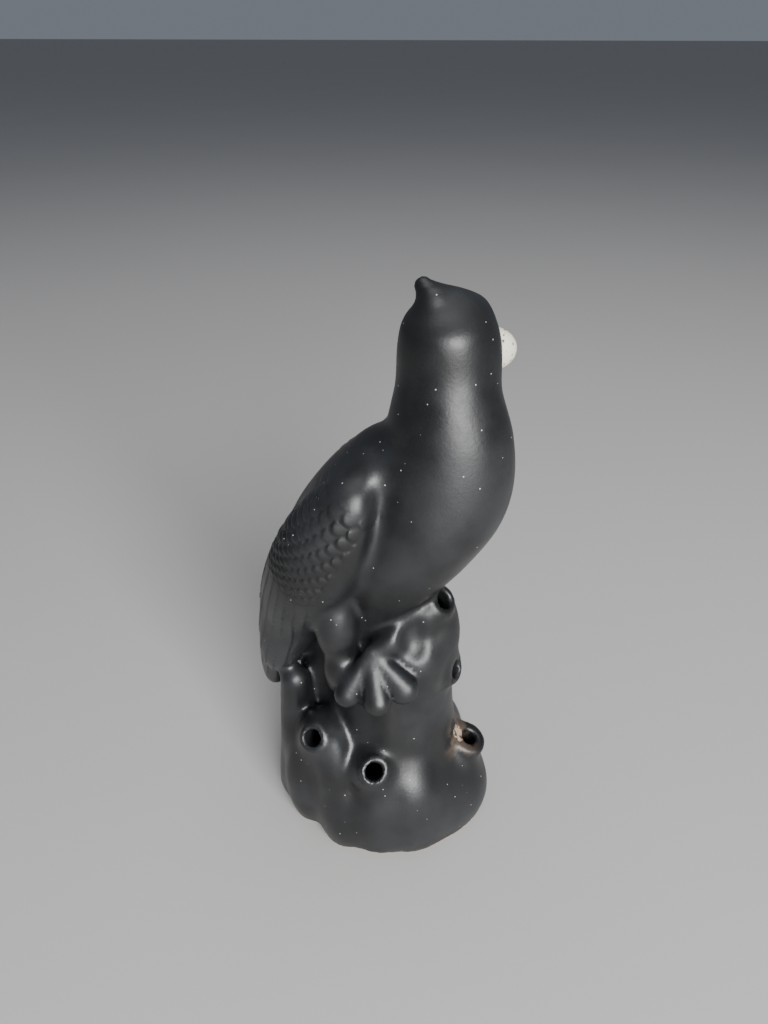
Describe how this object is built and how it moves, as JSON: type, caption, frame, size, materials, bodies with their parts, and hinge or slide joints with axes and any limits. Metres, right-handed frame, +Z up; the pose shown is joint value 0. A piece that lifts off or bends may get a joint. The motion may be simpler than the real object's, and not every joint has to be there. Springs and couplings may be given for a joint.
{
  "type": "ceramic bird figurine",
  "caption": "Perched bird on a lumpy rock, cast as one hollow glazed piece with short open tubes for cut flowers.",
  "frame": {"origin": "middle of the flat underside", "axes": "+Z up, +X the way the bird's body faces, +Y the bird's left side"},
  "size_m": [0.0906, 0.0668, 0.21],
  "materials": {
    "black_glaze": "satin black glaze",
    "ivory_glaze": "satin ivory glaze on the beak",
    "bare_clay": "matt bare clay in the chips and underneath"
  },
  "bodies": {
    "root": {"bird_figurine": "black_glaze"}
  },
  "joints": []
}
